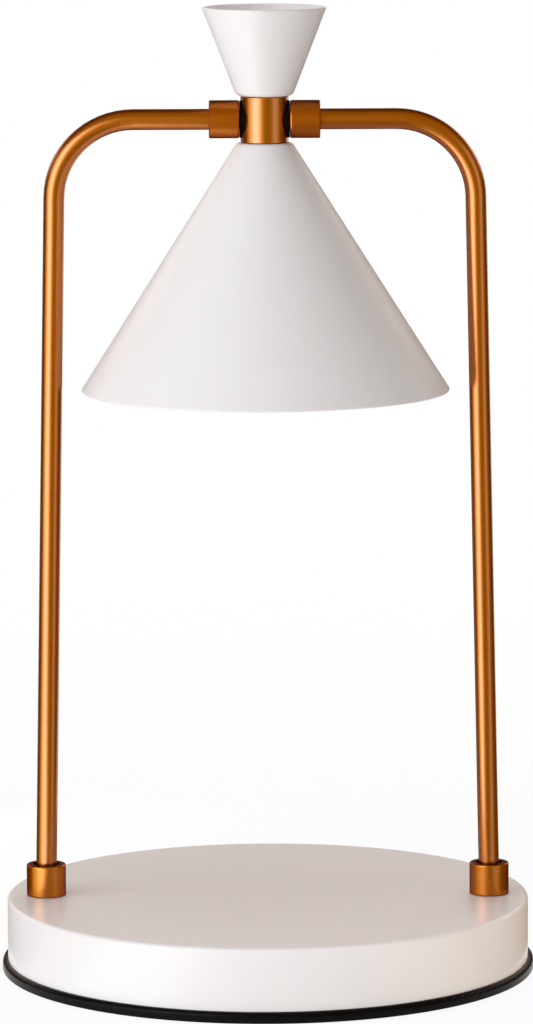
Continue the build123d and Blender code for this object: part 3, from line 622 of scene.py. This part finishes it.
def build_base_shell():
    """The base shell with even rows of faces, and true normals, round its upper edge.
    The rest of it is the CAD mesh, with the normals that it has there."""
    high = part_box("base_shell")[1]
    middle = Vector((high[0] - shell_edge, high[2] - shell_edge))
    near = 0.000005            # a point this near to the round counts as on it
    cad = nodes["base_shell"].data

    def across(point):
        """From the middle of the round to a point, in (radius, z)."""
        return Vector((math.hypot(point.x, point.y), point.z)) - middle

    def rounded(face):
        ends = [across(vertex.co) for vertex in face.verts]
        on_edge = all(abs(end.length - shell_edge) < near and min(end) > -near for end in ends)
        return on_edge and min(end.y for end in ends) < shell_edge - near

    bm = bmesh.new()
    bm.from_mesh(cad)
    kept = bm.loops.layers.float_vector.new("kept_normal")
    for face, cad_face in zip(bm.faces, cad.polygons):
        for loop, index in zip(face.loops, cad_face.loop_indices):
            loop[kept] = cad.corner_normals[index].vector
    old = [face for face in bm.faces if rounded(face)]
    points = [vertex.co.copy() for face in old for vertex in face.verts]
    top = border_of([point for point in points if across(point).y > shell_edge - near])
    foot = border_of([point for point in points if across(point).y < near])
    bmesh.ops.delete(bm, geom=old, context="FACES")
    upper = [(turn, bm.verts.new(point)) for turn, point in top]
    new = []
    for row in range(1, shell_edge_rows + 1):
        lean = math.radians(90 * (1 - row / shell_edge_rows))
        r, z = middle.x + shell_edge * math.cos(lean), middle.y + shell_edge * math.sin(lean)
        if row < shell_edge_rows:
            lower = [(turn, bm.verts.new((r * math.cos(turn), r * math.sin(turn), z))) for turn, point in top]
        else:
            lower = [(turn, bm.verts.new(point)) for turn, point in foot]
        new += zip_rings(bm, upper, lower)
        upper = lower
    for face in new:
        face.smooth = True
        for loop in face.loops:
            point = loop.vert.co
            out = across(point).normalized()
            turn = math.atan2(point.y, point.x)
            loop[kept] = (out.x * math.cos(turn), out.x * math.sin(turn), out.y)
    piece = mesh_object("base_shell_even_edge", bm, base_finish)
    stored = piece.data.attributes["kept_normal"]
    normals = [tuple(row.vector) for row in stored.data]
    piece.data.attributes.remove(stored)
    piece.data.normals_split_custom_set(normals)
    take_place(piece, "base_shell")


def build_mat():
    """Rubber mat with rings pressed into its underside."""
    low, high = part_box("rubber_mat")
    radius, foot, top = high[0], low[2], high[2]
    edge, dimple = 0.00015, 0.004
    rings, first_ring, between = 12, 0.0095, 0.0055
    width, slope, bed = 0.0015, 0.0003, foot + 0.0005
    sections = [(dimple, bed), (dimple + slope, foot)]
    for inner in [first_ring + between * i for i in range(rings)]:
        sections += [(inner, foot), (inner + slope, bed), (inner + width - slope, bed), (inner + width, foot)]
    sections += [(radius - edge, foot), (radius, foot + edge), (radius, top - edge), (radius - edge, top)]
    bm = bmesh.new()
    turned(bm, (0, 0), sections, angles=96)
    detail("rubber_mat_ribbed", "rubber_mat", bm)


def build_lamp_pins():
    """Two pins with mushroom heads."""
    low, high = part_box("lamp_pins")
    apart, shank, head, head_height, edge = 0.010, 0.0016, 0.00245, 0.0028, 0.0003
    top, under = high[2], high[2] - head_height
    dome = [(0, 0.0009), (0.00025, 0.0004), (0.0007, 0.0001), (0.0013, 0)]
    bm = bmesh.new()
    for side in (-1, 1):
        turned(bm, (side * apart / 2, 0), [
            (shank, low[2]), (shank, under), (head - edge, under), (head, under + edge),
            *[(head - inward, top - down) for inward, down in dome],
        ])
    detail("lamp_pins_mushroom", "lamp_pins", bm)


def build_reflector():
    """The lamp's reflector, faceted inside and smooth behind, with a rim for the lens."""
    low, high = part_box("lamp_reflector")
    face, neck = low[2], high[2]
    radius, seat, seat_depth, edge = 0.025, 0.0238, 0.0021, 0.0003
    wall, bore, bulge, facets = 0.0012, 0.00485, 0.0035, 32
    flat = polygon(math.cos(math.pi / facets), facets)
    bowl = arc((0.0098, neck - wall), (0.0232, face + seat_depth), bulge, 9)
    inside = [(scaled(flat, r), z) for r, z in bowl]
    outside = arc((radius, face + 0.0026), (0.011, neck), bulge, 14)
    rim = [(seat, face), (radius - edge, face), (radius, face + edge)]
    end = [(bore, neck), (bore, neck - wall)]
    sections = [*rim, *outside, *end, *inside, (seat, face + seat_depth)]
    bm = bmesh.new()
    rows = turned(bm, (0, 0), sections, hollow=True, angles=96)
    first_inside = len(rim) + len(outside) + len(end)
    for number, row in enumerate(rows):
        for quad in row:
            quad.smooth = not first_inside <= number < first_inside + len(inside) - 1
            quad.material_index = 1 if number < first_inside - len(end) else 0
    detail("lamp_reflector_faceted", "lamp_reflector", bm, reflector_back)


def build_lens():
    """The lens over the reflector, slightly crowned in front."""
    low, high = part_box("lamp_lens")
    radius, edge, rise, rings = high[0], 0.0003, 0.0004, 8
    crown = [(radius * k / rings, low[2] + rise * (k / rings) ** 2) for k in range(1, rings)]
    bm = bmesh.new()
    turned(bm, (0, 0), [
        *crown, (radius - edge, low[2] + rise), (radius, low[2] + rise + edge),
        (radius, high[2] - edge), (radius - edge, high[2]),
    ], angles=96)
    detail("lamp_lens_crowned", "lamp_lens", bm)


def build_filament():
    """The lamp's coil and the two thicker leads that hold it."""
    low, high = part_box("lamp_filament")
    half, wire, outer, turns, steps = 0.0024, 0.00016, 0.0009, 9, 12
    thick, lead_length = 2.2, 0.002
    coil, centre = outer - wire, low[2] + outer
    lead_end = centre + lead_length
    points = [(-half, 0, high[2], thick), (-half, 0, lead_end, thick), (-half, 0, centre + coil, 1)]
    for k in range(turns * steps + 1):
        turn = 2 * math.pi * k / steps
        x = -half + 2 * half * k / (turns * steps)
        points.append((x, coil * math.sin(turn), centre + coil * math.cos(turn), 1))
    points += [(half, 0, lead_end, thick), (half, 0, high[2], thick)]
    curve = bpy.data.curves.new("lamp_filament_coil", "CURVE")
    curve.dimensions = "3D"
    curve.bevel_depth = wire
    curve.bevel_resolution = 2
    curve.use_fill_caps = True
    spline = curve.splines.new("POLY")
    spline.points.add(len(points) - 1)
    for point, (x, y, z, thickness) in zip(spline.points, points):
        point.co = (x, y, z, 1)
        point.radius = thickness
    piece = bpy.data.objects.new("lamp_filament_coil", curve)
    bpy.context.scene.collection.objects.link(piece)
    curve.materials.append(finishes["tungsten"])
    take_place(piece, "lamp_filament")


# Floor, rooms for the reflections, lights and camera

def seen_as_background(tree):
    """1 for the rays that see the background: camera, glossy and transmission rays."""
    rays = tree.nodes.new("ShaderNodeLightPath")
    total = rays.outputs["Is Camera Ray"]
    for name in ("Is Glossy Ray", "Is Transmission Ray"):
        both = tree.nodes.new("ShaderNodeMath")
        both.operation = "MAXIMUM"
        tree.links.new(total, both.inputs[0])
        tree.links.new(rays.outputs[name], both.inputs[1])
        total = both.outputs[0]
    return total


def floor_material():
    """White where it is seen, with a soft part of its own shading near the object."""
    white = rgb(floor_white, floor_white, floor_white)
    material, shader = start_material("floor", Base_Color=white, Roughness=1.0, Specular_IOR_Level=0.0)
    tree = material.node_tree
    place = node(material, "TexCoord").outputs["Object"]
    distance = node(material, "VectorMath", {0: place}, operation="LENGTH").outputs["Value"]
    glowing = soft_step(material, distance, cad_high.x, floor_shadow_reach, before=1 - floor_shadow)
    seen = seen_as_background(tree)
    share = node(material, "Math", {0: glowing, 1: seen}, operation="MULTIPLY").outputs[0]
    glow = node(material, "Emission", {"Color": rgb(1, 1, 1), "Strength": 1.0})
    mix = node(material, "MixShader", {0: share})
    tree.links.new(shader.outputs["BSDF"], mix.inputs[1])
    tree.links.new(glow.outputs["Emission"], mix.inputs[2])
    tree.links.new(mix.outputs[0], tree.nodes["Material Output"].inputs["Surface"])
    return material


def build_floor():
    bm = bmesh.new()
    bmesh.ops.create_grid(bm, x_segments=1, y_segments=1, size=floor_size / 2)
    floor = mesh_object("floor", bm, floor_material())
    floor.location.z = -floor_gap


def window(material, value, low, high, soft):
    """1 where the value lies between low and high, with a soft step at each end."""
    rise = soft_step(material, value, low - soft / 2, low + soft / 2)
    fall = soft_step(material, value, high - soft / 2, high + soft / 2, before=1.0, after=0.0)
    return node(material, "Math", {0: rise, 1: fall}, operation="MULTIPLY").outputs[0]


def room_part(material, azimuth, height, centre, half_width, soft, low, high, colour):
    """The colour that one bright part adds, by azimuth from its centre and by height."""
    away = node(material, "Math", {0: azimuth, 1: math.radians(centre)}, operation="SUBTRACT").outputs[0]
    turn = node(material, "Math", {0: away, 1: math.pi, 2: -math.pi}, operation="WRAP").outputs[0]
    half, step = math.radians(half_width), math.radians(soft)
    across = window(material, turn, -half, half, step)
    up = window(material, height, low, high, room_part_fade)
    share = node(material, "Math", {0: across, 1: up}, operation="MULTIPLY").outputs[0]
    return node(material, "VectorMath", {0: colour, "Scale": share}, operation="SCALE").outputs["Vector"]


def room_material(name, see_through, front, back, parts):
    """The room's glow. See-through leaves the view of what lies outside."""
    material = bpy.data.materials.new(name)
    material.use_nodes = True
    tree = material.node_tree
    tree.nodes.clear()
    place = node(material, "TexCoord").outputs["Object"]
    split = node(material, "SeparateXYZ", {0: place})
    ahead = node(material, "Math", {0: split.outputs["Y"], 1: -1.0}, operation="MULTIPLY").outputs[0]
    azimuth = node(material, "Math", {0: split.outputs["X"], 1: ahead}, operation="ARCTAN2").outputs[0]
    behind = soft_step(material, split.outputs["Y"], room_front_until, room_back_from)
    colour = mixed_colour(material, behind, rgb(*front), rgb(*back))
    for part in parts:
        added = room_part(material, azimuth, split.outputs["Z"], **part)
        colour = node(material, "VectorMath", {0: colour, 1: added}, operation="ADD").outputs["Vector"]
    glow = node(material, "Emission", {"Color": colour, "Strength": 1.0})
    end = node(material, "OutputMaterial")
    if see_through:
        both = node(material, "AddShader")
        tree.links.new(glow.outputs[0], both.inputs[0])
        tree.links.new(node(material, "BsdfTransparent").outputs[0], both.inputs[1])
        glow = both
    tree.links.new(glow.outputs[0], end.inputs["Surface"])
    return material


def reflections_only(surroundings):
    """Part of the stage that only glossy rays see."""
    surroundings.visible_camera = False
    surroundings.visible_diffuse = False
    surroundings.visible_shadow = False
    surroundings.visible_transmission = False
    surroundings.visible_volume_scatter = False


def shines_on(emitter, pieces, state):
    """Lets an emitter reach only these pieces, or all but these."""
    receivers = bpy.data.collections.new(emitter.name + "_receivers")
    for piece in pieces:
        receivers.objects.link(piece)
    for entry in receivers.collection_objects:
        entry.light_linking.link_state = state
    emitter.light_linking.receiver_collection = receivers


def build_room(name, look, gap, see_through, state):
    """A wide drum round the object that only glossy rays see. state says whether it
    shines on the bronze only (INCLUDE) or on all else (EXCLUDE)."""
    radius, floor, ceiling = room_radius + gap, room_floor - gap, room_height + gap
    profile = [(room_hole, floor), (radius, floor), (radius, ceiling), (room_top_hole, ceiling)]
    bm = bmesh.new()
    rings = [
        [bm.verts.new((x, y, z)) for x, y in ring_of(room_segments, r)]
        for r, z in profile
    ]
    for lower, upper in zip(rings, rings[1:]):
        for i in range(room_segments):
            j = (i + 1) % room_segments
            bm.faces.new((lower[i], lower[j], upper[j], upper[i]))
    room = mesh_object(name, bm, room_material(name, see_through, **look))
    reflections_only(room)
    bronze_nodes = [nodes[piece] for piece, slot in slot_of.items() if slot.startswith("bronze")]
    shines_on(room, bronze_nodes, state)


def build_world():
    world = bpy.data.worlds.new("world")
    bpy.context.scene.world = world
    world.use_nodes = True
    tree = world.node_tree
    soft = tree.nodes["Background"]
    soft.inputs["Color"].default_value = rgb(*world_colour)
    soft.inputs["Strength"].default_value = world_strength
    white = tree.nodes.new("ShaderNodeBackground")
    white.inputs["Color"].default_value = rgb(1, 1, 1)
    mix = tree.nodes.new("ShaderNodeMixShader")
    tree.links.new(seen_as_background(tree), mix.inputs[0])
    tree.links.new(soft.outputs[0], mix.inputs[1])
    tree.links.new(white.outputs[0], mix.inputs[2])
    tree.links.new(mix.outputs[0], tree.nodes["World Output"].inputs["Surface"])


def area_light(name, width, height, radiance, colour):
    """A softbox that lights the object but isn't seen, nor reflected. It faces down."""
    light = bpy.data.lights.new(name, "AREA")
    light.shape = "RECTANGLE"
    light.size = width
    light.size_y = height
    light.color = colour
    light.energy = radiance * math.pi * width * height
    softbox = bpy.data.objects.new(name, light)
    softbox.visible_camera = False
    softbox.visible_glossy = False
    bpy.context.scene.collection.objects.link(softbox)
    return softbox


def build_softbox(name, azimuth, distance, low, high, width, radiance, colour):
    """An upright softbox on the side that azimuth gives, 0 being the camera's."""
    angle = math.radians(azimuth)
    place = Vector((math.sin(angle) * distance, -math.cos(angle) * distance, (low + high) / 2))
    level = Vector((-place.x, -place.y, 0))
    softbox = area_light(name, width, high - low, radiance, colour)
    softbox.location = place
    softbox.rotation_mode = "QUATERNION"
    softbox.rotation_quaternion = level.to_track_quat("-Z", "Y")


def build_overhead():
    size = overhead_size
    softbox = area_light("overhead_softbox", size, size, overhead_radiance, overhead_colour)
    softbox.location = (0, 0, overhead_height)


def build_camera():
    data = bpy.data.cameras.new("camera")
    data.lens = camera_lens
    camera = bpy.data.objects.new("camera", data)
    camera.matrix_world = (
        Matrix.Translation((camera_side, -camera_distance, camera_height))
        @ Matrix.Rotation(math.radians(90 - camera_pitch), 4, "X")
        @ Matrix.Rotation(math.radians(camera_roll), 4, "Z")
    )
    bpy.context.scene.collection.objects.link(camera)
    bpy.context.scene.camera = camera


build_base_shell()
build_base_screws()
build_holder_screws()
build_terminal_screws()
build_nuts()
build_nipple()
build_mat()
build_lamp_pins()
build_reflector()
build_lens()
build_filament()
build_floor()
build_room("bronze_room", bronze_room, gap=0, see_through=True, state="INCLUDE")
build_room("grey_room", grey_room, gap=room_gap, see_through=False, state="EXCLUDE")
build_world()
for name, settings in softboxes.items():
    build_softbox(name, **settings)
build_overhead()
build_camera()
bpy.context.scene.view_settings.view_transform = "Standard"
